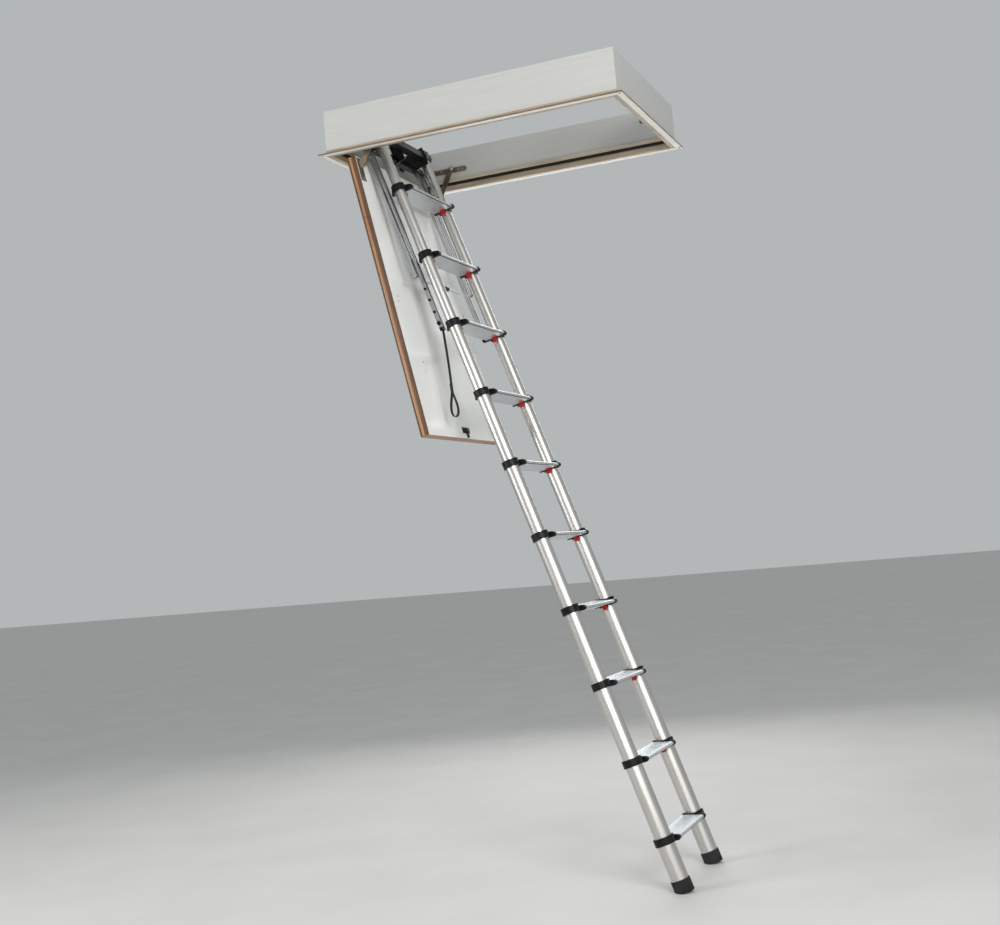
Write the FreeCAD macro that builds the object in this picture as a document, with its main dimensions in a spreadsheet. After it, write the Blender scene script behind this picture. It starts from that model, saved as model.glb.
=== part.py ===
"""Telescoping loft ladder hung in a ceiling hatch: casing, drop-down door and extending ladder.

Frame: the origin is the centre of the casing's opening in the plane of the ceiling (the flange's
upper face).  +Z is up, +X runs from the hinge end to the latch end, and the rungs lie along Y.
A stile position is given by its distance along the stile from the floor, its offset square to the
ladder (positive on the climbing side) and its Y.  Section 1 is the lowest, section 11 the highest.
"""
import FreeCAD, Part
import math
import os
import re

from FreeCAD import Placement, Rotation, Vector

# Driving dimensions in millimetres and degrees
SIZES = {
    # casing
    "opening_length": 1116.0,
    "opening_width": 752.0,
    "board_thick": 18.0,
    "board_height": 172.0,
    "flange_width": 42.0,
    "flange_thick": 6.0,
    "flange_hole_radius": 2.5,
    "rebate_height": 21.0,
    "seal_height": 10.0,
    "seal_depth": 10.0,
    "batten_height": 15.0,
    "batten_depth": 12.0,
    # door
    "door_width": 712.0,
    "door_length": 1108.0,
    "door_thick": 36.0,
    "door_skin": 3.0,
    "door_rail_width": 45.0,
    "core_strip": 4.0,
    "door_open_angle": 79.07,
    "door_end_gap": 5.0,
    "door_setback": 80.5,
    # door hinge
    "hinge_pin_radius": 5.0,
    "link_width": 20.0,
    "link_thick": 6.0,
    "link_inset": 24.0,
    "link_pin_along": 42.0,
    "link_pin_height": 22.0,
    "link_top_rise": 84.0,
    "link_top_forward": 93.0,
    "bar_length": 205.0,
    "bar_height": 20.0,
    # ladder
    "lean": 71.9,
    "rung_pitch": 290.0,
    "first_rung": 185.0,
    "stile_spacing": 432.0,
    "bottom_tube_od": 65.0,
    "tube_step": 2.7,
    "tube_wall": 1.0,
    "tube_overlap": 50.0,
    "collar_wall": 5.5,
    "collar_height": 25.0,
    "collar_lip": 2.5,
    "lip_clearance": 0.6,
    "foot_height": 46.0,
    "foot_sole": 14.0,
    # rungs
    "tread_back": 33.0,
    "tread_front": 41.0,
    "nose_radius": 6.0,
    "tread_rise": 12.0,
    "rear_depth": 28.0,
    "rung_wall": 2.2,
    "plate_margin": 4.0,
    "plate_outstand": 8.0,
    "plate_thick": 14.0,
    # release buttons
    "button_length": 11.0,
    "button_width": 14.0,
    "button_height": 18.0,
    "button_gap": 0.6,
    # pivot and rails
    "pivot_reach": 3042.0,
    "pivot_setin": 109.5,
    "pivot_rise": 105.0,
    "pivot_pin_radius": 8.0,
    "pivot_running_clearance": 0.08,
    "block_size": 44.0,
    "block_height": 42.0,
    "crossbar": 30.0,
    "rail_front": 44.0,
    "rail_depth": 15.0,
    "rail_width": 22.0,
    "rail_wall": 2.0,
    "rail_inset": 7.0,
    "rail_lower_end": 2226.0,
    "outer_rail_outset": 45.0,
    "outer_rail_lower_end": 2430.0,
    "rail_head": 2995.0,
    "tie_rod_radius": 3.5,
    "strap_width": 20.0,
    "strap_thick": 2.5,
    "strap_drop": 240.0,
    "strap_loop": 98.0,
    "strap_lean": 4.0,
}
SECTIONS = 11
RUNGS = SECTIONS - 1
X_AXIS, Y_AXIS, Z_AXIS = Vector(1, 0, 0), Vector(0, 1, 0), Vector(0, 0, 1)
SIDES = (("near", -1), ("far", 1))

doc = FreeCAD.newDocument("LoftLadder")
sheet = doc.addObject("Spreadsheet::Sheet", "Sizes")
for row, (alias, value) in enumerate(SIZES.items(), start=1):
    sheet.set(f"A{row}", alias)
    sheet.set(f"B{row}", str(value))
    sheet.setAlias(f"B{row}", alias)
doc.recompute()

nodes = []


def size(alias):
    """A driving dimension, read back from the sheet."""
    return float(sheet.get(alias))


def bind(item, **sizes):
    """Ties an object's sizes to expressions written with the sheet's aliases."""
    for prop, text in sizes.items():
        bound = re.sub(r"[A-Za-z_][A-Za-z_0-9]*", lambda word: "Sizes." + word.group()
                       if word.group() in SIZES else word.group(), str(text))
        item.setExpression(prop, bound)
    return item


def node(item, label):
    """Marks a finished object as a sub-part, under the name of its file."""
    item.Label = label
    nodes.append(item)
    return item


def box(length, width, height, base, turn=Rotation()):
    item = bind(doc.addObject("Part::Box", "Box"), Length=length, Width=width, Height=height)
    item.Placement = Placement(base, turn)
    return item


def rod(radius, height, base, turn=Rotation()):
    item = bind(doc.addObject("Part::Cylinder", "Rod"), Radius=radius, Height=height)
    item.Placement = Placement(base, turn)
    return item


def fuse(*items):
    item = doc.addObject("Part::MultiFuse", "Fuse")
    item.Shapes = list(items)
    return item


def cut(base, tool):
    item = doc.addObject("Part::Cut", "Cut")
    item.Base = base
    item.Tool = tool
    return item


def group(*items):
    item = doc.addObject("Part::Compound", "Group")
    item.Links = list(items)
    return item


ALONG_Y = Rotation(X_AXIS, -90)

# ------------------------------------------------------------------------------------ places
lean = math.radians(size("lean"))
STILE_TURN = Rotation(Y_AXIS, size("lean") - 90)
pivot = Vector(-size("opening_length") / 2 + size("pivot_setin"), 0, size("pivot_rise"))
along_stile = Vector(-math.cos(lean), 0, math.sin(lean))
square_to_stile = Vector(math.sin(lean), 0, math.cos(lean))
floor_point = pivot - along_stile * size("pivot_reach")
stile_y = size("stile_spacing") / 2

door_turn = Rotation(Y_AXIS, size("door_open_angle"))
door_down = door_turn.multVec(X_AXIS)
door_face = door_turn.multVec(Z_AXIS)
door_origin = Vector(-size("opening_length") / 2 + size("door_setback"), 0, -size("flange_thick"))


def on_stile(distance, offset=0.0, y=0.0):
    """The point at a distance up the stile, an offset square to it and a Y."""
    return floor_point + along_stile * distance + square_to_stile * offset + Vector(0, y, 0)


def on_door(down, height, y):
    """The point a distance down the open door and a height above its inner face."""
    return door_origin + door_down * down + door_face * height + Vector(0, y, 0)


def rung_distance(section):
    return size("first_rung") + (section - 1) * size("rung_pitch")


def tube_od(section):
    """The tube's outer diameter, as an expression."""
    return f"(bottom_tube_od - {section - 1} * tube_step)"


def tube_radius(section):
    return (size("bottom_tube_od") - (section - 1) * size("tube_step")) / 2


# ------------------------------------------------------------------------------------ casing
def casing():
    half_length = size("opening_length") / 2
    half_width = size("opening_width") / 2
    thick = size("board_thick")
    flange = size("flange_width")
    low = -size("flange_thick")

    def ring(depth, height, outer_length, outer_width, rise):
        """Four strips round the opening: two long ones, with two short ones between them."""
        long_half = outer_length / 2
        wide_half = outer_width / 2
        strips = []
        inner = size(depth) if depth in SIZES else 0
        for y in (-wide_half, wide_half - inner):
            strips.append(box(str(outer_length), depth, height, Vector(-long_half, y, rise)))
        for x in (-long_half, long_half - inner):
            strips.append(box(depth, str(outer_width - 2 * inner), height,
                              Vector(x, -wide_half + inner, rise)))
        return strips

    sides = [box("opening_length + 2 * board_thick", "board_thick", "board_height",
                 Vector(-half_length - thick, y, low)) for y in (-half_width - thick, half_width)]
    node(group(*sides), "casing_side_boards")
    ends = [box("board_thick", "opening_width", "board_height", Vector(x, -half_width, low))
            for x in (-half_length - thick, half_length)]
    node(group(*ends), "casing_end_boards")

    # the flange is a flat frame outside the boards, screwed up to the ceiling
    strips = [box("opening_length + 2 * flange_width", "flange_width - board_thick", "flange_thick",
                  Vector(-half_length - flange, y, low))
              for y in (-half_width - flange, half_width + thick)]
    hole_x = half_length + (flange + thick) / 2
    hole_y = half_width + (flange + thick) / 2
    long_strips = []
    for strip, y in zip(strips, (-hole_y, hole_y)):
        holes = [rod("flange_hole_radius", "flange_thick * 3", Vector(x, y, low * 2))
                 for x in (-hole_x, hole_x)]
        long_strips.append(cut(strip, fuse(*holes)))
    short_strips = [box("flange_width - board_thick", "opening_width + 2 * board_thick",
                        "flange_thick", Vector(x, -half_width - thick, low))
                    for x in (-half_length - flange, half_length + thick)]
    node(group(*long_strips, *short_strips), "ceiling_flange")

    opening = (size("opening_length"), size("opening_width"))
    seal_low = low + size("rebate_height")
    batten_low = seal_low + size("seal_height")
    node(group(*ring("batten_depth", "batten_height", *opening, batten_low)), "stop_battens")
    node(group(*ring("seal_depth", "seal_height", *opening, seal_low)), "hatch_seal")


# -------------------------------------------------------------------------------------- door
def door():
    width = size("door_width")
    top = size("door_end_gap")
    skin = size("door_skin")
    rail = size("door_rail_width")
    length = size("door_length")
    low = -size("door_thick")

    def panel(label, thick, height, inset=0.0):
        """A flat board of the door, its size shrunk by an inset all round."""
        board = box(f"door_length - {2 * inset}", f"door_width - {2 * inset}", thick,
                    on_door(top + inset, height, -width / 2 + inset), door_turn)
        return node(board, label)

    panel("door_inner_panel", "door_skin", -skin)
    panel("door_outer_panel", "door_skin", low)
    core = "door_thick - 2 * door_skin"
    long_gap = (width - 2 * rail) / 5
    cross_gap = (length - 2 * rail) / 7
    strips = [box("door_length - 2 * door_rail_width", "core_strip", core,
                  on_door(top + rail, low + skin, -width / 2 + rail + n * long_gap), door_turn)
              for n in range(1, 5)]
    strips += [box("core_strip", "door_width - 2 * door_rail_width", core,
                   on_door(top + rail + n * cross_gap, low + skin, -width / 2 + rail), door_turn)
               for n in range(1, 7)]
    node(fuse(*strips), "door_core")
    rails = [box("door_length", "door_rail_width", core, on_door(top, low + skin, y), door_turn)
             for y in (-width / 2, width / 2 - rail)]
    rails += [box("door_rail_width", "door_width - 2 * door_rail_width", core,
                  on_door(down, low + skin, -width / 2 + rail), door_turn)
              for down in (top, top + length - rail)]
    node(group(*rails), "door_frame")


def hinges():
    """Side bars on the casing, swinging links, and the plates that carry the door."""
    link_y = size("opening_width") / 2 - size("link_inset") - size("link_thick")
    pin = size("hinge_pin_radius")
    upper = Vector(door_origin.x + size("link_top_forward"), 0, door_origin.z + size("link_top_rise"))
    lower = on_door(size("link_pin_along"), size("link_pin_height"), 0)
    reach = lower - upper
    length = reach.Length
    swing = Rotation(X_AXIS, reach)
    bars, links, plates = [], [], []
    for side, sign in SIDES:
        # link: a flat bar with round eyes and two pins
        flat = min(sign * link_y, sign * (link_y + size("link_thick")))
        def at(point, y):
            return Vector(point.x, y, point.z)
        web = box(str(length), "link_thick", "link_width",
                  at(upper, flat) + swing.multVec(Vector(0, 0, -size("link_width") / 2)), swing)
        eyes = [rod("link_width / 2", "link_thick", at(point, flat), ALONG_Y)
                for point in (upper, lower)]
        out = min(sign * link_y, sign * (size("opening_width") / 2))
        casing_pin = rod("hinge_pin_radius", "link_inset + link_thick", at(upper, out), ALONG_Y)
        inner = link_y - 2 * size("link_thick")
        door_pin = rod("hinge_pin_radius", "3 * link_thick",
                       at(lower, min(sign * inner, sign * (inner + 3 * size("link_thick")))), ALONG_Y)
        links.append(fuse(web, *eyes, casing_pin, door_pin))
        # side bar on the casing board
        bar_y = min(sign * (size("opening_width") / 2), sign * (size("opening_width") / 2 - 6))
        start = at(upper, bar_y) + Vector(-size("bar_length") * 0.75, 0, -size("bar_height") / 2)
        bar = box("bar_length", "link_thick", "bar_height", start)
        tip = rod("bar_height / 2", "link_thick", start + Vector(size("bar_length"), 0,
                  size("bar_height") / 2), ALONG_Y)
        bore = rod("hinge_pin_radius + pivot_running_clearance", "3 * link_thick",
                   at(upper, bar_y - size("link_thick")), ALONG_Y)
        bars.append(cut(fuse(bar, tip), bore))
        # door plate: a foot on the inner panel and a lug round the lower pin
        lug_y = min(sign * (link_y - 0.5), sign * (link_y - 0.5 - size("link_thick")))
        foot_y = min(sign * (link_y + size("link_thick")), sign * (link_y - 32))
        foot = box("90", "38", "2", on_door(14, 0, foot_y), door_turn)
        lug = box("30", "link_thick", "link_pin_height", on_door(size("link_pin_along") - 15, 0, lug_y),
                  door_turn)
        head = rod("15", "link_thick", at(lower, lug_y), ALONG_Y)
        hole = rod("hinge_pin_radius + pivot_running_clearance", "3 * link_thick",
                   at(lower, lug_y - size("link_thick")), ALONG_Y)
        plates.append(cut(fuse(foot, lug, head), hole))
    node(group(*bars), "hinge_bars")
    node(group(*links), "hinge_links")
    node(group(*plates), "door_hinge_plates")
    return upper, lower, pin


# ------------------------------------------------------------------------------------ ladder
def wedge(length, front, back, top, front_low, rear_low, centre, growth="0"):
    """A rung's body: level on top, deep at the back and shallow at the front."""
    item = bind(doc.addObject("Part::Wedge", "Wedge"),
                Xmin=f"-({length}) / 2", Xmax=f"({length}) / 2",
                X2min=f"-({length}) / 2", X2max=f"({length}) / 2",
                Ymin=f"-({back})", Ymax=front, Zmin=rear_low, Zmax=top,
                Z2min=front_low, Z2max=top)
    item.Placement = Placement(centre, Rotation(Z_AXIS, -90))
    return item


def stiles(section):
    """The pair of tubes of one section."""
    top = rung_distance(section) + size("collar_height") / 2
    length = "rung_pitch + tube_overlap"
    bottom = top - size("rung_pitch") - size("tube_overlap")
    if section == 1:
        bottom = size("foot_sole")
        length = "first_rung + collar_height / 2 - foot_sole"
    if section == SECTIONS:
        bottom = rung_distance(RUNGS) + size("collar_height") / 2 - size("tube_overlap")
        length = (f"pivot_reach - block_height / 2 + tube_overlap - collar_height / 2"
                  f" - first_rung - {RUNGS - 1} * rung_pitch")
    tubes = []
    for side, sign in SIDES:
        base = on_stile(bottom, 0, sign * stile_y)
        outside = rod(f"{tube_od(section)} / 2", length, base, STILE_TURN)
        bore = rod(f"{tube_od(section)} / 2 - tube_wall", f"{length} + 2",
                   base - along_stile, STILE_TURN)
        tubes.append(cut(outside, bore))
    node(group(*tubes), f"stiles_{section}")


def rung(section):
    """The hollow tread between a section's two collars."""
    centre = on_stile(rung_distance(section))
    length = f"stile_spacing - {tube_od(section)} - 2 * plate_outstand"
    body = wedge(length, "tread_front", "tread_back", "tread_rise", "tread_rise - 2 * nose_radius",
                 "tread_rise - rear_depth", centre)
    span = size("stile_spacing") - 2 * tube_radius(section) - 2 * size("plate_outstand")
    nose = rod("nose_radius", length, centre + Vector(size("tread_front"), -span / 2,
               size("tread_rise") - size("nose_radius")), ALONG_Y)
    hollow = wedge(f"{length} + 4", "tread_front - rung_wall", "tread_back - rung_wall",
                   "tread_rise - rung_wall", "tread_rise - 2 * nose_radius + rung_wall",
                   "tread_rise - rear_depth + rung_wall * 1.3", centre)
    node(cut(fuse(body, nose), hollow), f"rung_{section}")


def collars(section):
    """The pair of moulded collars that join a rung to its tubes and guide the next tubes."""
    half = size("collar_height") / 2
    inner = tube_radius(section) + size("plate_outstand")
    pair = []
    for side, sign in SIDES:
        centre = on_stile(rung_distance(section), 0, sign * stile_y)
        low = centre - along_stile * half
        ring = rod(f"{tube_od(section)} / 2 + collar_wall", "collar_height + collar_lip", low, STILE_TURN)
        edge = sign * (stile_y - inner + size("plate_thick") / 2)
        middle = on_stile(rung_distance(section)) + Vector(0, edge, 0)
        plate = wedge("plate_thick", "tread_front", "tread_back + plate_margin",
                      "tread_rise + plate_margin", "tread_rise - 2 * nose_radius - plate_margin",
                      "tread_rise - rear_depth - plate_margin", middle)
        nose = rod("nose_radius + plate_margin", "plate_thick",
                   middle + Vector(size("tread_front"), -size("plate_thick") / 2,
                                   size("tread_rise") - size("nose_radius")), ALONG_Y)
        seat = rod(f"{tube_od(section)} / 2", "collar_height + 60", low - along_stile * 60, STILE_TURN)
        lip = rod(f"{tube_od(section + 1)} / 2 + lip_clearance", "collar_lip + 60", low
                  + along_stile * (size("collar_height") - 1), STILE_TURN)
        pair.append(cut(fuse(ring, plate, nose), fuse(seat, lip)))
    node(group(*pair), f"collars_{section}")


def underside_slope():
    """The angle in degrees at which the tread's underside falls towards the back."""
    fall = size("rear_depth") - 2 * size("nose_radius")
    return math.degrees(math.atan2(fall, size("tread_front") + size("tread_back")))


def buttons(section):
    """The two red release buttons under the ends of a rung."""
    turn = Rotation(Y_AXIS, -underside_slope())
    inner = stile_y - tube_radius(section) - size("plate_outstand") - size("button_gap")
    pair = []
    for side, sign in SIDES:
        y = min(sign * inner, sign * (inner - size("button_width")))
        front = on_stile(rung_distance(section)) + Vector(size("tread_front"), y,
                                                          size("tread_rise") - 2 * size("nose_radius"))
        slide = front + turn.multVec(Vector(-size("tread_front") - size("button_length") / 2, 0,
                                            -size("button_height") - size("button_gap")))
        body = box("button_length", "button_width", "button_height", slide, turn)
        thumb = rod("button_height / 2", "button_width", slide + turn.multVec(
                    Vector(size("button_length"), 0, size("button_height") / 2)), turn * ALONG_Y)
        pair.append(fuse(body, thumb))
    node(group(*pair), f"release_buttons_{section}")


def feet():
    """Rubber cups over the ends of the lowest tubes, with a sole inside the tube's end."""
    pair = []
    for side, sign in SIDES:
        base = on_stile(0, 0, sign * stile_y)
        cup = rod("bottom_tube_od / 2 + 3", "foot_height", base, STILE_TURN)
        room = rod("bottom_tube_od / 2", "foot_height", base + along_stile * size("foot_sole"), STILE_TURN)
        below = box("120", "120", "60", base + Vector(-60, -60, -60))
        pair.append(cut(cut(cup, room), below))
    node(group(*pair), "feet")


# --------------------------------------------------------------------------------- swing frame
def pivot_brackets():
    """Steel ears on the hinge-end board that carry the ladder's pivots."""
    outer = stile_y + size("block_size") / 2 + 4
    ears = []
    for side, sign in SIDES:
        y = min(sign * outer, sign * (outer + 6))
        wall_x = -size("opening_length") / 2
        ear = box("pivot_setin", "6", "46", Vector(wall_x, y, pivot.z - 23))
        head = rod("23", "6", Vector(pivot.x, y, pivot.z), ALONG_Y)
        foot = box("5", "40", "64", Vector(wall_x, min(sign * (outer + 6), sign * (outer - 34)),
                                          pivot.z - 32))
        bore = rod("pivot_pin_radius + pivot_running_clearance", "30",
                   Vector(pivot.x, y - 12, pivot.z), ALONG_Y)
        ears.append(cut(fuse(ear, head, foot), bore))
    node(group(*ears), "pivot_brackets")


def swing_frame():
    """The welded frame at the ladder's head: end blocks, two crossbars, side plates and stub axles."""
    reach = size("pivot_reach")
    half = size("block_size") / 2
    head = size("rail_head")
    pieces = []
    for side, sign in SIDES:
        block = box("block_size", "block_size", "block_height",
                    on_stile(reach - size("block_height") / 2, -half, sign * stile_y - half), STILE_TURN)
        axle_y = min(sign * (stile_y + half), sign * (stile_y + half + 14))
        axle = rod("pivot_pin_radius", "14", Vector(pivot.x, axle_y, pivot.z), ALONG_Y)
        inside = min(sign * (stile_y - half), sign * (stile_y - half - 6))
        plate = box("82", "6", "block_height / 2 + 54", on_stile(head + 6, -62, inside), STILE_TURN)
        pieces += [block, axle, plate]
    upper = box("crossbar", "stile_spacing - block_size", "crossbar",
                on_stile(reach - size("crossbar") / 2, -size("crossbar") / 2, -stile_y + half), STILE_TURN)
    wide = stile_y + size("outer_rail_outset") + size("rail_width") / 2
    lower = box("rail_depth + 6", f"{2 * wide}", "24",
                on_stile(head, -size("rail_front") - size("rail_depth") - 3, -wide), STILE_TURN)
    node(fuse(*pieces, upper, lower), "swing_frame")


def channel(sign, centre_y, lower_end):
    """A rail of channel section, open towards the ladder, at a Y."""
    top = size("rail_head")
    back = -size("rail_front") - size("rail_depth")
    y = sign * centre_y - size("rail_width") / 2
    length = f"{top} - {lower_end}"
    solid = box("rail_depth", "rail_width", length, on_stile(size(lower_end), back, y), STILE_TURN)
    room = box("rail_depth", "rail_width - 2 * rail_wall - 4", f"{length} + 4",
               on_stile(size(lower_end) - 2, back + size("rail_wall"), y + size("rail_wall") + 2), STILE_TURN)
    return cut(solid, room)


def rails():
    inner_y = stile_y - size("rail_inset")
    outer_y = stile_y + size("outer_rail_outset")
    back = -size("rail_front") - size("rail_depth")
    low = size("rail_lower_end")
    node(group(*[channel(sign, inner_y, "rail_lower_end") for side, sign in SIDES]), "guide_rails")

    # outer rails, joined at their lower ends by a rod in lugs, with a stop roller near its middle
    rod_off = back - 5
    rod_at = size("outer_rail_lower_end") + 6
    outer = [channel(sign, outer_y, "outer_rail_lower_end") for side, sign in SIDES]
    lugs = [box("10", "rail_width", "24", on_stile(size("outer_rail_lower_end"), back - 10,
                sign * outer_y - size("rail_width") / 2), STILE_TURN) for side, sign in SIDES]
    inside = outer_y - size("rail_width") / 2
    tie = rod("tie_rod_radius", f"{2 * inside}", on_stile(rod_at, rod_off, -inside), ALONG_Y)
    node(group(fuse(outer[0], lugs[0]), fuse(outer[1], lugs[1])), "outer_rails")
    roller = rod("9", "26", on_stile(rod_at, rod_off, 27), ALONG_Y)
    node(fuse(tie, roller), "tie_rod")

    # black caps, bolts and a stop knob at the lower ends of the guide rails
    caps = []
    for side, sign in SIDES:
        y = sign * inner_y - size("rail_width") / 2
        caps.append(box("rail_depth", "rail_width", "12", on_stile(low - 12, back, y), STILE_TURN))
        outboard = min(sign * (inner_y + size("rail_width") / 2),
                       sign * (inner_y + size("rail_width") / 2 + 5))
        for rise, radius in ((17, 8), (64, 5), (115, 5), (162, 5)):
            caps.append(rod(str(radius), "5", on_stile(low + rise, back + 7.5, outboard), ALONG_Y))
    node(group(*caps), "rail_fittings")


def strap():
    """The webbing pull, hanging straight down from the near guide rail, with a hand loop."""
    y = -stile_y + size("rail_inset")
    top = on_stile(size("rail_lower_end") - 12, -size("rail_front") - 7.5, y)
    turn = Rotation(Y_AXIS, -size("strap_lean"))

    def below(drop, x=0.0, across=0.0):
        return top + turn.multVec(Vector(x, across, -drop))

    half = size("strap_width") / 2
    tail = box("strap_thick", "strap_width", "strap_drop - 0.8",
               below(size("strap_drop"), -size("strap_thick") / 2, -half), turn)
    centre = below(size("strap_drop") + size("strap_loop") / 2 - 2, 0, -half)
    outside = doc.addObject("Part::Ellipse", "LoopOutside")
    bind(outside, MajorRadius="strap_loop / 2", MinorRadius="strap_width * 0.75")
    inside = doc.addObject("Part::Ellipse", "LoopInside")
    bind(inside, MajorRadius="strap_loop / 2 - strap_thick", MinorRadius="strap_width * 0.75 - strap_thick")
    solids = []
    for outline in (outside, inside):
        outline.Placement = Placement(centre, turn * Rotation(X_AXIS, 90) * Rotation(Z_AXIS, 90))
        slab = doc.addObject("Part::Extrusion", "LoopSolid")
        slab.Base = outline
        slab.DirMode = "Custom"
        slab.Dir = Y_AXIS
        slab.Solid = True
        bind(slab, LengthFwd="strap_width")
        solids.append(slab)
    node(fuse(tail, cut(*solids)), "pull_strap")
    return top


casing()
door()
link_upper, link_lower, _ = hinges()
for number in range(1, SECTIONS + 1):
    stiles(number)
for number in range(1, RUNGS + 1):
    rung(number)
    collars(number)
for number in range(2, RUNGS + 1):
    buttons(number)
feet()
pivot_brackets()
swing_frame()
rails()
strap_top = strap()
doc.recompute()

for item in doc.Objects:
    if {"Invalid", "Error"} & set(item.State):
        raise RuntimeError(f"{item.Name} did not build: {item.State}")
for item in nodes:
    if item.Shape.isNull() or not item.Shape.isValid():
        raise RuntimeError(f"{item.Label} has no valid shape")

os.makedirs("parts", exist_ok=True)
for item in nodes:
    item.Shape.exportStep(f"parts/{item.Label}.step")
print(len(nodes), "sub-parts")
print("pivot", pivot, "link", link_upper, link_lower, "strap", strap_top)
print("along stile", along_stile, "floor", floor_point, "slope", underside_slope())
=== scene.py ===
"""Looks for the telescoping loft ladder: materials, small fittings, floor, light and camera."""
import math

import bmesh
import bpy
from mathutils import Matrix, Vector


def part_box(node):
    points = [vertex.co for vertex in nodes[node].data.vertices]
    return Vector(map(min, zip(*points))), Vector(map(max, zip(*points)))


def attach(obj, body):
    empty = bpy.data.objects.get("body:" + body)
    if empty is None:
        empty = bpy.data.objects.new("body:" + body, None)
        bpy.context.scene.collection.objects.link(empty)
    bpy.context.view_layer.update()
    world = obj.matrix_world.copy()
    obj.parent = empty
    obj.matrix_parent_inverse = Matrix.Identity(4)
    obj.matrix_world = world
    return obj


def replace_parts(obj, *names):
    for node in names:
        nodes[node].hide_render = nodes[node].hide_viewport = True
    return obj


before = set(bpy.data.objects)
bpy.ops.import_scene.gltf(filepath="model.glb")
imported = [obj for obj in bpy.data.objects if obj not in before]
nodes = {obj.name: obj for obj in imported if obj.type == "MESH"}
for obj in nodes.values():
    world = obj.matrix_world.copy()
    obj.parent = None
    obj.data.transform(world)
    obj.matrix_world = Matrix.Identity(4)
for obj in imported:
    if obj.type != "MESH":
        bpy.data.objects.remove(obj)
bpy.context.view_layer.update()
scene = bpy.context.scene

X, Y, Z = Vector((1, 0, 0)), Vector((0, 1, 0)), Vector((0, 0, 1))

# the ladder, in metres: its lean, the way up a stile, the way out to the climbing side, its axle
# and the foot of its middle line on the floor
LEAN = math.radians(71.9)
UP = Vector((-math.cos(LEAN), 0, math.sin(LEAN)))
OUT = Vector((math.sin(LEAN), 0, math.cos(LEAN)))
PIVOT = Vector((-0.4485, 0, 0.105))
PIVOT_REACH = 3.042
FLOOR = PIVOT - UP * PIVOT_REACH

# the ladder's own sizes, in millimetres
STILE_Y = 216                       # middle plane to a stile's axis
FIRST_RUNG, RUNG_PITCH = 185, 290   # along the stile
TUBE_OD, TUBE_STEP = 65, 2.7        # lowest tube, and how much less each section above it has

# the open door, in metres: its tilt, the way down it, the way out of its inner face, its upper edge
TILT = math.radians(79.07)
DOWN = Vector((math.cos(TILT), 0, -math.sin(TILT)))
FACE = Vector((math.sin(TILT), 0, math.cos(TILT)))
DOOR = Vector((-0.4775, 0, -0.006))
DOOR_HALF = 356                     # middle plane to a long edge, in millimetres


def stile(t, out=0.0, y=0.0):
    """The point t up the ladder from the floor, out from its stiles and y across, in mm."""
    return FLOOR + UP * (t / 1000) + OUT * (out / 1000) + Y * (y / 1000)


def door(down, high, y):
    """The point down the open door, high above its inner face and y across, in millimetres."""
    return DOOR + DOWN * (down / 1000) + FACE * (high / 1000) + Y * (y / 1000)


def rung_t(k):
    """Height of rung k along the stile."""
    return FIRST_RUNG + RUNG_PITCH * (k - 1)


def tube_r(k):
    """Outer radius of the tubes of section k."""
    return (TUBE_OD - TUBE_STEP * (k - 1)) / 2


# ------------------------------------------------------------------ camera
def camera():
    """The camera, turned by yaw about Z, then raised by pitch, then rolled about its own view."""
    yaw, pitch, roll = math.radians(21.767), math.radians(3.706), math.radians(-5.067)
    ahead = Vector((-math.sin(yaw) * math.cos(pitch), math.cos(yaw) * math.cos(pitch),
                    math.sin(pitch)))
    level = Vector((math.cos(yaw), math.sin(yaw), 0))
    above = level.cross(ahead)
    right = level * math.cos(roll) + above * math.sin(roll)
    up = above * math.cos(roll) - level * math.sin(roll)
    cam = bpy.data.objects.new("camera", bpy.data.cameras.new("camera"))
    view = Matrix((right, up, -ahead)).transposed().to_4x4()
    view.translation = Vector((1.863845, -5.019624, -1.556259))
    cam.matrix_world = view
    cam.data.sensor_width = 36
    cam.data.lens = 50.345
    cam.data.clip_end = 200
    scene.collection.objects.link(cam)
    scene.camera = cam


camera()


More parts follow.
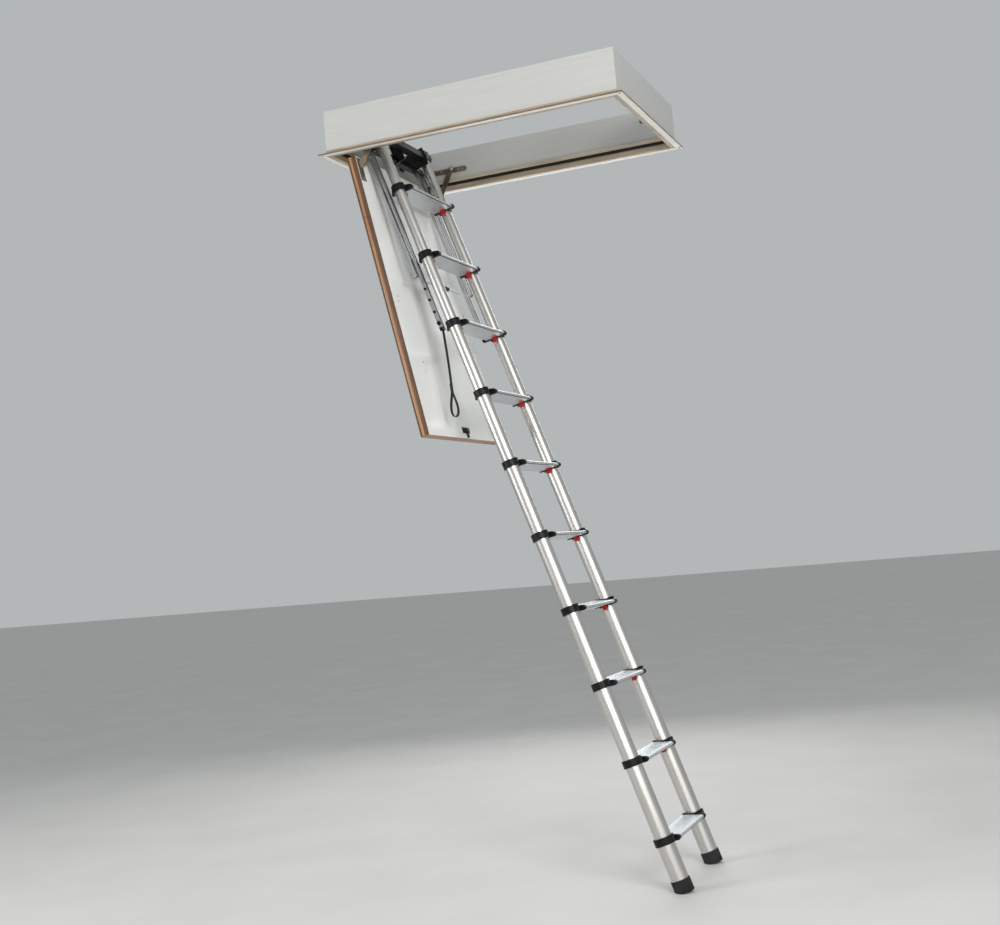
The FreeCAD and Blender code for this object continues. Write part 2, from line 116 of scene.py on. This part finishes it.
# --------------------------------------------------------------- materials
class Mat:
    """A small builder of procedural materials."""

    def __init__(self, name, rough=0.5, metal=0.0, **sockets):
        self.material = bpy.data.materials.new(name)
        self.material.use_nodes = True
        self.tree = self.material.node_tree
        self.shader = self.tree.nodes["Principled BSDF"]
        self.shader.inputs["Roughness"].default_value = rough
        self.shader.inputs["Metallic"].default_value = metal
        for key, value in sockets.items():
            self.shader.inputs[key.replace("_", " ")].default_value = value
        self.coordinates = self.tree.nodes.new("ShaderNodeTexCoord").outputs["Object"]

    def new(self, kind, **props):
        n = self.tree.nodes.new(kind)
        for key, value in props.items():
            setattr(n, key, value)
        return n

    def link(self, a, b):
        self.tree.links.new(a, b)

    def scaled(self, scale, rot=(0, 0, 0)):
        """Object coordinates, turned back by rot and then multiplied by scale."""
        n = self.new("ShaderNodeMapping", vector_type="TEXTURE")
        n.inputs["Scale"].default_value = tuple(1 / v for v in scale)
        n.inputs["Rotation"].default_value = rot
        self.link(self.coordinates, n.inputs["Vector"])
        return n.outputs["Vector"]

    def noise(self, scale, stretch=(1, 1, 1), rot=(0, 0, 0), detail=4, rough=0.5):
        n = self.new("ShaderNodeTexNoise")
        n.inputs["Scale"].default_value = scale
        n.inputs["Detail"].default_value = detail
        n.inputs["Roughness"].default_value = rough
        self.link(self.scaled(stretch, rot), n.inputs["Vector"])
        return n.outputs["Fac"]

    def along(self, direction):
        """Distance along a direction, in metres."""
        n = self.new("ShaderNodeVectorMath", operation="DOT_PRODUCT")
        n.inputs[1].default_value = tuple(direction)
        self.link(self.coordinates, n.inputs[0])
        return n.outputs["Value"]

    def ramp(self, fac, stops):
        n = self.new("ShaderNodeValToRGB")
        while len(n.color_ramp.elements) < len(stops):
            n.color_ramp.elements.new(0.5)
        for e, (pos, colour) in zip(n.color_ramp.elements, stops):
            e.position = pos
            e.color = (*colour, 1)
        self.link(fac, n.inputs["Fac"])
        return n.outputs["Color"]

    def span(self, value, low, high, to_low=0.0, to_high=1.0):
        """The value mapped from low..high to to_low..to_high."""
        n = self.new("ShaderNodeMapRange")
        for i, v in zip((1, 2, 3, 4), (low, high, to_low, to_high)):
            n.inputs[i].default_value = v
        self.link(value, n.inputs[0])
        return n.outputs[0]

    def mix(self, fac, a, b, blend="MIX"):
        n = self.new("ShaderNodeMix", data_type="RGBA", blend_type=blend)
        for socket, value in ((n.inputs[0], fac), (n.inputs[6], a), (n.inputs[7], b)):
            if isinstance(value, (int, float)):
                socket.default_value = value
            elif isinstance(value, tuple):
                socket.default_value = (*value, 1)
            else:
                self.link(value, socket)
        return n.outputs[2]

    def colour(self, out):
        self.link(out, self.shader.inputs["Base Color"])
        return self

    def rough(self, fac, low, high):
        self.link(self.span(fac, 0.3, 0.7, low, high), self.shader.inputs["Roughness"])
        return self

    def bump(self, fac, strength, distance):
        n = self.new("ShaderNodeBump")
        n.inputs["Strength"].default_value = strength
        n.inputs["Distance"].default_value = distance
        self.link(fac, n.inputs["Height"])
        self.link(n.outputs["Normal"], self.shader.inputs["Normal"])
        return self


ALONG_STILE = (0, LEAN - math.radians(90), 0)


def metal(name, low, high, rough, rot=(0, 0, 0), stretch=(90, 90, 1)):
    """Brushed metal between two tones, with faint stains."""
    m = Mat(name, rough, metal=1.0)
    grain = m.noise(9, stretch, rot, 5)
    stain = m.noise(6, detail=2)
    m.colour(m.mix(0.25, m.ramp(grain, ((0.3, low), (0.7, high))),
                   m.ramp(stain, ((0.35, low), (0.65, high)))))
    return m.rough(grain, rough - 0.05, rough + 0.07).bump(grain, 0.05, 0.0002)


def plastic(name, low, high, rough, grain_scale=900, bump=0.25):
    """Moulded plastic, rubber or paint with a fine grain and worn patches."""
    m = Mat(name, rough, Specular_IOR_Level=0.18)
    grain = m.noise(grain_scale, detail=2)
    wear = m.noise(14, detail=4)
    m.colour(m.ramp(wear, ((0.35, low), (0.7, high))))
    return m.rough(wear, rough - 0.06, rough + 0.08).bump(grain, bump, 0.0003)


def wood(name, dark, light, rough, stretch):
    """Bare wood with a broad grain and a finer one over it."""
    m = Mat(name, rough)
    grain = m.noise(6, stretch, detail=8, rough=0.62)
    fine = m.noise(42, stretch, detail=3)
    tone = m.ramp(grain, ((0.32, dark), (0.68, light)))
    m.colour(m.mix(0.3, tone, m.ramp(fine, ((0.35, dark), (0.65, light))), "MULTIPLY"))
    return m.rough(grain, rough - 0.05, rough + 0.08).bump(fine, 0.2, 0.0004)


tube = metal("tube_aluminium", (0.56, 0.54, 0.51), (0.66, 0.64, 0.61), 0.36, ALONG_STILE)
rail = metal("rail_aluminium", (0.50, 0.50, 0.50), (0.62, 0.62, 0.62), 0.3, ALONG_STILE)
tread = metal("tread_aluminium", (0.66, 0.69, 0.71), (0.78, 0.81, 0.83), 0.42, stretch=(60, 1, 60))
zinc = metal("hinge_steel", (0.20, 0.155, 0.10), (0.42, 0.35, 0.25), 0.34, stretch=(6, 6, 6))
silver = metal("bracket_silver", (0.62, 0.62, 0.62), (0.82, 0.82, 0.82), 0.34, stretch=(8, 8, 30))
black_steel = plastic("black_steel", (0.006, 0.006, 0.007), (0.013, 0.013, 0.014), 0.36, 500, 0.15)
black = plastic("collar_black", (0.005, 0.005, 0.006), (0.012, 0.012, 0.013), 0.36)
red = plastic("button_red", (0.36, 0.010, 0.010), (0.50, 0.02, 0.018), 0.32, 700, 0.1)
rubber = plastic("foot_rubber", (0.012, 0.012, 0.012), (0.03, 0.03, 0.03), 0.72, 300, 0.5)
seal = plastic("hatch_seal", (0.010, 0.010, 0.010), (0.02, 0.02, 0.02), 0.66, 400, 0.3)
batten = wood("batten", (0.42, 0.35, 0.26), (0.60, 0.53, 0.43), 0.5, (1.2, 1.2, 14))
screw = metal("screw_steel", (0.30, 0.29, 0.27), (0.52, 0.50, 0.47), 0.4, stretch=(9, 9, 9))


def casing_material():
    """Laminated board, with the raw brown edge of the board below the seal."""
    m = Mat("casing_board", 0.42, Coat_Weight=0.15)
    grain = m.noise(5, (1, 1, 30), detail=6)
    board = m.ramp(grain, ((0.2, (0.44, 0.44, 0.42)), (0.8, (0.50, 0.50, 0.48))))
    raw = m.ramp(m.noise(9, (1, 1, 26), detail=8),
                 ((0.3, (0.28, 0.20, 0.13)), (0.7, (0.46, 0.37, 0.27))))
    cut = m.span(m.along(Z), 0.0148, 0.0152)
    m.colour(m.mix(cut, raw, board))
    return m.rough(grain, 0.38, 0.5).bump(grain, 0.12, 0.0004)


def trim_material():
    """Cream face with the board's raw brown edge at its outer rim, darkened with painted shade."""
    m = Mat("ceiling_trim", 0.4, Coat_Weight=0.2)
    wear = m.noise(7, detail=4)
    cream = m.ramp(wear, ((0.3, (0.78, 0.74, 0.66)), (0.7, (0.86, 0.83, 0.76))))
    # the raw edge's brown, made darker as painted shade on the outer rim
    shaded_raw_edge = m.ramp(m.noise(30, (1, 1, 8)), ((0.3, (0.12, 0.085, 0.06)), (0.7, (0.20, 0.14, 0.10))))
    rims = []
    for axis, edge in ((X, 0.5985), (Y, 0.4168)):
        d = m.new("ShaderNodeMath", operation="ABSOLUTE")
        m.link(m.along(axis), d.inputs[0])
        rims.append(m.span(d.outputs[0], edge, edge + 0.0004))
    worst = m.new("ShaderNodeMath", operation="MAXIMUM")
    m.link(rims[0], worst.inputs[0])
    m.link(rims[1], worst.inputs[1])
    m.colour(m.mix(worst.outputs[0], cream, shaded_raw_edge))
    return m.rough(wear, 0.34, 0.46).bump(m.noise(120), 0.08, 0.0003)


def door_edge(name, coat, tone=1.0):
    """Lacquered pine whose grain runs down the door; a tone above 1 lightens it as a painted
    highlight, below 1 darkens it as painted shade.
    """
    m = Mat(name, 0.36, Coat_Weight=coat, Coat_Roughness=0.2)
    turn = (0, TILT, 0)
    grain = m.noise(7, (1.2, 26, 26), turn, 8, 0.65)
    ring = m.noise(3, (0.5, 9, 9), turn, 3)
    dark = tuple(c * tone for c in (0.20, 0.085, 0.035))
    light = tuple(c * tone for c in (0.40, 0.21, 0.10))
    m.colour(m.mix(0.4, m.ramp(grain, ((0.3, dark), (0.7, light))),
                   m.ramp(ring, ((0.35, dark), (0.65, light)))))
    return m.rough(grain, 0.3, 0.42).bump(grain, 0.18, 0.0005)


def laminate(name, low, high, rough):
    """A smooth coated surface between two close tones."""
    m = Mat(name, rough, Coat_Weight=0.35, Coat_Roughness=0.08)
    cloud = m.noise(3, detail=3)
    m.colour(m.ramp(cloud, ((0.3, low), (0.7, high))))
    return m.rough(cloud, rough - 0.04, rough + 0.05).bump(m.noise(60), 0.03, 0.0003)


def webbing():
    """Black woven tape, its weave running slantwise."""
    m = Mat("strap_webbing", 0.8)
    wave = m.new("ShaderNodeTexWave", wave_type="BANDS", bands_direction="DIAGONAL")
    wave.inputs["Scale"].default_value = 330
    m.link(m.coordinates, wave.inputs["Vector"])
    m.colour(m.ramp(wave.outputs["Fac"],
                    ((0.2, (0.004, 0.004, 0.004)), (0.8, (0.015, 0.015, 0.016)))))
    return m.bump(wave.outputs["Fac"], 0.3, 0.0003)


casing_mat, trim_mat = casing_material(), trim_material()
pine = door_edge("door_pine", 0.3)
# a lighter copy of the pine as a painted highlight and a darker copy as painted shade
pine_highlit = door_edge("door_pine_highlit", 0.3, 1.3)
pine_shaded = door_edge("door_pine_shaded", 0.2, 0.34)
white = laminate("door_white", (0.77, 0.77, 0.75), (0.84, 0.84, 0.82), 0.2)
outside = laminate("door_outside", (0.70, 0.69, 0.66), (0.78, 0.77, 0.74), 0.34)
strap_mat = webbing()
thread = laminate("strap_thread", (0.05, 0.05, 0.052), (0.08, 0.08, 0.083), 0.6)

PAINT = {
    "casing_side_boards": casing_mat, "casing_end_boards": casing_mat, "ceiling_flange": trim_mat,
    "stop_battens": batten, "hatch_seal": seal, "hinge_bars": zinc, "hinge_links": zinc,
    "door_hinge_plates": zinc, "pivot_brackets": black_steel, "swing_frame": black_steel,
    "door_inner_panel": white, "door_outer_panel": outside, "door_core": batten,
    "door_frame": pine, "feet": rubber, "guide_rails": rail, "outer_rails": rail, "tie_rod": silver,
    "rail_fittings": black, "pull_strap": strap_mat,
}
FAMILY_PAINT = {"stiles": tube, "rung": tread, "collars": black, "release": red}
for name, node in nodes.items():
    paint = PAINT.get(name, FAMILY_PAINT.get(name.split("_")[0]))
    node.data.materials.clear()
    node.data.materials.append(paint.material)


# ------------------------------------------------------------------ pieces
def axes(z, x=None):
    """A turn whose Z runs along z."""
    z = Vector(z).normalized()
    x = Vector(x) if x is not None else (Y if abs(z.y) < 0.9 else X)
    y = z.cross(x).normalized()
    return Matrix((y.cross(z), y, z)).transposed().to_4x4()


class Piece:
    """A mesh built from turned and bevelled forms, riding on one body."""

    def __init__(self, name, body, mat, slot):
        self.args = (name, body, mat, slot)
        self.bm = bmesh.new()

    def place(self, verts, at, turn):
        bmesh.ops.transform(self.bm, matrix=Matrix.Translation(at) @ turn, verts=verts)

    def skin(self, rings, closed=False):
        """Faces between each ring of vertices and the next, with a cap at each end unless closed."""
        count = len(rings[0])
        for a, b in zip(rings, rings[1:] + rings[:1] if closed else rings[1:]):
            for i in range(count):
                j = (i + 1) % count
                self.bm.faces.new((a[i], a[j], b[j], b[i]))
        if not closed:
            self.bm.faces.new(rings[0][::-1])
            self.bm.faces.new(rings[-1])

    def lathe(self, at, z, profile, sides=28, ring=False):
        """A form turned about z from (radius, height) pairs in millimetres.

        With ring set, its middle is open and the profile closes on itself.
        """
        rings = []
        for r, h in profile:
            rings.append([self.bm.verts.new((r / 1000 * math.cos(2 * math.pi * i / sides),
                                             r / 1000 * math.sin(2 * math.pi * i / sides),
                                             h / 1000))
                          for i in range(sides)])
        self.skin(rings, closed=ring)
        self.place([v for turned in rings for v in turned], at, axes(z))

    def block(self, at, z, size, x=None, bevel=1.0):
        """A block centred on a point, with rounded edges.

        Its size is along (x, z cross x, z), in millimetres.
        """
        made = bmesh.ops.create_cube(self.bm, size=1)["verts"]
        bmesh.ops.scale(self.bm, vec=Vector(size) / 1000, verts=made)
        # a dict keeps its order, where a set's would change from run to run
        edges = list(dict.fromkeys(e for v in made for e in v.link_edges))
        done = bmesh.ops.bevel(self.bm, geom=edges, offset=bevel / 1000, segments=2, affect="EDGES",
                               profile=0.7)
        verts = list(dict.fromkeys([v for f in done["faces"] for v in f.verts]
                                   + [v for v in made if v.is_valid]))
        self.place(verts, at, axes(z, x))

    def band(self, line, width, thick):
        """A flat strip with rounded edges, in mm, along points in a plane square to Y."""
        edge, flat, half = width / 2000, (width / 2 - 1) / 1000, thick / 2000
        near_edge, shoulder = edge - 0.0003, half * 0.7
        section = ((-edge, 0), (-near_edge, shoulder), (-flat, half), (flat, half),
                   (near_edge, shoulder), (edge, 0), (near_edge, -shoulder), (flat, -half),
                   (-flat, -half), (-near_edge, -shoulder))
        rings = []
        for i, point in enumerate(line):
            along = (line[min(i + 1, len(line) - 1)] - line[max(i - 1, 0)]).normalized()
            out = along.cross(Y)
            rings.append([self.bm.verts.new(point + Y * across + out * up)
                          for across, up in section])
        self.skin(rings)

    def done(self):
        """The finished object, riding on its body."""
        name, body, mat, slot = self.args
        mesh = bpy.data.meshes.new(name)
        bmesh.ops.recalc_face_normals(self.bm, faces=self.bm.faces)
        self.bm.to_mesh(mesh)
        self.bm.free()
        mesh.materials.append(mat.material)
        mesh.shade_smooth()
        mesh.set_sharp_from_angle(angle=math.radians(32))
        o = bpy.data.objects.new(name, mesh)
        scene.collection.objects.link(o)
        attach(o, body)
        return o


def screw_head(piece, at, z, r):
    """A domed screw head with a recess in its crown."""
    piece.lathe(at, z, ((r, 0), (r, 0.4), (r * 0.86, 1.1), (r * 0.55, 1.5), (r * 0.42, 1.5),
                        (r * 0.30, 0.7), (r * 0.05, 0.5)), 20)


def bolt_head(piece, at, z, r, high):
    """A washer under a six-sided head with a chamfered top."""
    piece.lathe(at, z, ((r * 1.35, 0), (r * 1.35, 1.1), (r * 1.28, 1.3), (r, 1.3)), 24)
    piece.lathe(at + Vector(z).normalized() * 0.0012, z,
                ((r, 0), (r, high - 0.8), (r * 0.86, high)), 6)


# each tread: rows of grip ribs on top, a thin black strip of painted shade behind the nose bead, and
# at each end of it two rims round the collar and a disc on the collar's nose
for k in range(1, 11):
    body = f"section_{k}"
    low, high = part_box(f"rung_{k}")
    middle = stile(rung_t(k))
    top = middle.z + 0.012
    length = (high.y - low.y) * 1000
    ribs = Piece(f"tread_ribs_{k}", body, tread, "tread_aluminium")
    for i in range(11):
        x = middle.x - 0.026 + i * 0.0062
        ribs.block(Vector((x, 0, top + 0.0002)), Z, (length - 3, 2.2, 1.2), Y, 0.45)
    ribs.done()
    # a black strip behind the nose: painted shade where the nose shades the web below it
    nose_shadow = Piece(f"tread_nose_shadow_{k}", body, black, "collar_black")
    nose_shadow.block(Vector((middle.x + 0.0415, 0, middle.z + 0.0003)), Z, (length - 2, 7.0, 0.9), Y,
                 0.25)
    nose_shadow.done()
    rims = Piece(f"collar_rims_{k}", body, black, "collar_black")
    for sign in (-1, 1):
        r = tube_r(k) + 5.5
        for rise in (-11.5, 9.0):
            rims.lathe(stile(rung_t(k) + rise, 0, sign * STILE_Y), UP,
                       ((r - 1, 0), (r + 0.7, 0.5), (r + 0.7, 2.3), (r - 1, 2.8)), 56, ring=True)
        nose = Vector((middle.x + 0.041, sign * (STILE_Y - tube_r(k) + 6) / 1000,
                       middle.z + 0.006))
        rims.lathe(nose, (0, sign, 0),
                   ((10, -0.2), (8.6, 0.9), (5.5, 0.9), (5.0, 0.3), (0.8, 0.3)), 32)
    rims.done()

# the row of stop holes in the top tubes as black discs of painted shade, low enough in profile to
# pass through the collars below
hole_shade = Piece("stop_hole_shade", "head", black, "collar_black")
for sign in (-1, 1):
    for t in (2853, 2899, 2946, 2995):
        hole_shade.lathe(stile(t, 0, sign * (STILE_Y - 18)), (0, -sign, 0),
                    ((3, 0), (3, 1.04), (2.6, 1.07)), 20)
hole_shade.done()

# head fittings: pivot bolts, frame bolts, the upright plate and the pale side plate
bolts = Piece("head_bolts", "head", screw, "hinge_steel")
for sign in (-1, 1):
    bolt_head(bolts, Vector((PIVOT.x, sign * 0.252, PIVOT.z)), (0, sign, 0), 8, 6)
    for t, out, y in ((3007, -40.5, 209), (3050, 22, STILE_Y)):
        bolt_head(bolts, stile(t, out, sign * y), OUT, 4.5, 3)
    for t in (2980, 2945):
        bolt_head(bolts, stile(t, -44.2, sign * 261), OUT, 3.6, 2.6)
bolts.done()
plate = Piece("head_upright_plate", "head", black_steel, "black_steel")
plate.block(stile(3030, -30, 18), UP, (8, 44, 74), Y, 1.6)
plate.block(stile(3062, -28, 18), UP, (30, 44, 6), Y, 1.4)
plate.done()
side = Piece("head_side_plate", "head", silver, "hinge_steel")
side.block(stile(3024, -20, -185.5), UP, (3, 62, 62), Y, 0.8)
for t in (3008, 3040):
    bolt_head(side, stile(t, -24, -184.1), Y, 4, 3)
side.done()

roller = Piece("stop_roller_sleeve", "head", black, "collar_black")
roller.lathe(stile(2436, -64, 26.4), Y, ((8.6, 0), (9.6, 0.5), (9.6, 26.7), (8.6, 27.2)), 36)
roller.done()

# casing: screws in the trim, fixings of the hinge bars and of the pivot ears, and the latch keeper
trim_screws = Piece("trim_screws", "casing", screw, "hinge_steel")
for x in (-0.588, 0.588):
    for y in (-0.406, 0.406):
        screw_head(trim_screws, Vector((x, y, -0.006)), -Z, 4.6)
for sign in (-1, 1):
    for x in (-0.52, -0.44, -0.36):
        screw_head(trim_screws, Vector((x, sign * 0.370, 0.078)), (0, -sign, 0), 4.2)
    for y in (0.219, 0.237):
        for z in (0.082, 0.128):
            screw_head(trim_screws, Vector((-0.553, sign * y, z)), X, 4.0)
trim_screws.done()
keeper = Piece("latch_keeper", "casing", black_steel, "black_steel")
keeper.block(Vector((0.5535, 0, 0.002)), Z, (54, 9, 13), Y, 1.2)
keeper.block(Vector((0.5480, 0, -0.001)), Z, (30, 6, 5), Y, 1.0)
keeper.done()

# door: a painted highlight bead down both edges between two bands of painted shade, screws, lipping
# at its foot in the highlight pine, latch
for sign, name in ((-1, "near"), (1, "far")):
    edge = sign * DOOR_HALF
    # a lighter pine strip down the middle of the edge: a painted highlight
    highlight_bead = Piece(f"door_highlight_bead_{name}", "door", pine_highlit, "door_pine")
    highlight_bead.block(door(559, -22.5, edge), DOWN, (10.5, 5, 1106), FACE, 2.2)
    highlight_bead.done()
    # darker pine strips either side of it as painted shade, and a short dark line across the edge
    shade_bands = Piece(f"door_shade_bands_{name}", "door", pine_shaded, "door_pine")
    shade_bands.block(door(559, -8.4, edge), DOWN, (16.4, 1.6, 1107), FACE, 0.6)
    shade_bands.block(door(559, -32.0, edge), DOWN, (7.4, 1.6, 1107), FACE, 0.6)
    shade_bands.block(door(250, -18, edge + sign * 2.6), DOWN, (35, 0.7, 1.4), FACE, 0.2)
    shade_bands.done()
    edge_screws = Piece(f"door_screws_{name}", "door", screw, "hinge_steel")
    for down, y in ((50, 240), (88, 240), (565, 310), (583, 310), (820, 235), (858, 235)):
        screw_head(edge_screws, door(down, 0, sign * y), FACE, 3.6)
    edge_screws.done()
foot = Piece("door_foot_lipping", "door", pine_highlit, "door_pine")
foot.block(door(1112.6, -18, 0), FACE, (710, 2.4, 35), Y, 0.8)
foot.done()
latch = Piece("door_latch", "door", black_steel, "black_steel")
latch.block(door(1080, 1.5, 0), FACE, (64, 24, 3), Y, 0.9)
latch.block(door(1080, 5, 6), FACE, (30, 16, 7), Y, 1.4)
latch.lathe(door(1080, 3, -22), FACE, ((5, 0), (5, 3), (4, 4), (1.5, 4.4)), 24)
latch.block(door(1100, 4, 6), FACE, (14, 20, 4), Y, 1.2)
latch.done()
plate_screws = Piece("hinge_plate_screws", "door", screw, "hinge_steel")
for sign in (-1, 1):
    for down in (24, 92):
        screw_head(plate_screws, door(down, 2, sign * 328), FACE, 3.8)
plate_screws.done()
link_caps = Piece("link_pin_caps", "hinge_link", screw, "hinge_steel")
for sign in (-1, 1):
    for at, y in ((Vector((-0.3845, 0, 0.078)), 346), (door(42, 22, 0), 340)):
        link_caps.lathe(at + Y * sign * y / 1000, (0, -sign, 0),
                        ((8, 0), (8, 1.6), (6, 3.0), (2, 3.4)), 28)
link_caps.done()

# the webbing pull, in metres: a tail, a teardrop hand loop, and its end doubled back and stitched
# at the neck
STRAP_TOP = Vector((-0.240211, -0.209, -0.698027))
STRAP_LEAN = math.radians(4)
DROP = Vector((math.sin(STRAP_LEAN), 0, -math.cos(STRAP_LEAN)))
SIDE = Vector((math.cos(STRAP_LEAN), 0, math.sin(STRAP_LEAN)))
LAYER = 0.0023                      # middle of one layer of webbing to the middle of the next
THREAD = 0.0012                     # middle of a layer to the stitches on it
TAIL_TOP, TAIL_STEP, TAIL_STEPS, TAIL_BOW = 0.0008, 0.0104, 20, 0.0015
LOOP_MIDDLE, LOOP_HALF = 0.2855, 0.0475     # along the drop
LOOP_REACH = 0.0135 / 0.70          # widest half, over the teardrop curve's own widest value
LOOP_STEPS = 64


def strap_point(drop, side, across=0):
    """A point down the strap and to its side, in metres, and across its width, in millimetres."""
    return STRAP_TOP + DROP * drop + SIDE * side + Y * (across / 1000)


line = [strap_point(TAIL_TOP + TAIL_STEP * i, TAIL_BOW * math.sin(math.pi * i / TAIL_STEPS))
        for i in range(TAIL_STEPS + 1)]
line += [strap_point(drop, 0) for drop in (0.215, 0.222, 0.230)]
for i in range(2, LOOP_STEPS - 1):
    u = 2 * math.pi * i / LOOP_STEPS
    wide = LOOP_REACH * math.sin(u) * math.sin(u / 2) ** 1.5
    line.append(strap_point(LOOP_MIDDLE - LOOP_HALF * math.cos(u), wide - LAYER * u / (2 * math.pi)))
line += [strap_point(drop, -LAYER) for drop in (0.230, 0.222, 0.214, 0.206)]
pull = Piece("pull_webbing", "strap", strap_mat, "strap_webbing")
pull.band(line, 20, 2.2)
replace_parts(pull.done(), "pull_strap")
stitches = Piece("pull_stitching", "strap", thread, "strap_webbing")
FACES = (THREAD, -LAYER - THREAD)
rows_across = [(drop, side, across) for drop in (0.210, 0.228) for side in FACES
               for across in range(-7, 8, 2)]
rows_down = [(drop, side, across) for across in (-8, 8) for side in FACES
             for drop in (0.213, 0.216, 0.219, 0.222, 0.225)]
for places, stitch in ((rows_across, (0.5, 1.5, 0.7)), (rows_down, (0.5, 0.7, 1.8))):
    for place in places:
        stitches.block(strap_point(*place), DROP, stitch, SIDE, 0.15)
stitches.done()

# ----------------------------------------------------------- floor and light
FLOOR_HALF = 40                     # metres from the middle of the floor to its edge
floor_mesh = bpy.data.meshes.new("floor")
floor_mesh.from_pydata([(x * FLOOR_HALF, y * FLOOR_HALF, 0)
                        for x, y in ((-1, -1), (1, -1), (1, 1), (-1, 1))], [], [(0, 1, 2, 3)])
ground = bpy.data.objects.new("floor", floor_mesh)
ground.location.z = FLOOR.z - 0.0005
scene.collection.objects.link(ground)
pale = Mat("floor", 0.75)
pale.colour(pale.ramp(pale.noise(2, detail=2),
                      ((0.3, (0.60, 0.59, 0.57)), (0.7, (0.64, 0.63, 0.61)))))
floor_mesh.materials.append(pale.material)

world = bpy.data.worlds.new("world")
world.use_nodes = True
background = world.node_tree.nodes["Background"]
background.inputs["Color"].default_value = (0.60, 0.63, 0.64, 1)
background.inputs["Strength"].default_value = 0.75
scene.world = world


def light(name, at, look, power, size, tint=(1, 1, 1)):
    """A square area light at a point, aimed at another."""
    data = bpy.data.lights.new(name, "AREA")
    data.energy, data.size, data.color = power, size, tint
    o = bpy.data.objects.new(name, data)
    o.location = at
    o.rotation_euler = (Vector(look) - Vector(at)).to_track_quat("-Z", "Y").to_euler()
    scene.collection.objects.link(o)


light("key", (3.2, -3.6, 0.2), (0, 0, -1.2), 150, 2.2, (1, 0.99, 0.97))
light("fill", (-3.4, -3.0, -0.6), (-0.2, 0, -1.0), 80, 1.6, (0.96, 0.98, 1))
light("low", (1.0, -3.0, -1.9), (-0.3, 0, 0.2), 16, 1.2)
light("back", (-1.0, 3.4, 0.2), (0, 0, -1.0), 70, 2.6)
scene.view_settings.view_transform = "Standard"
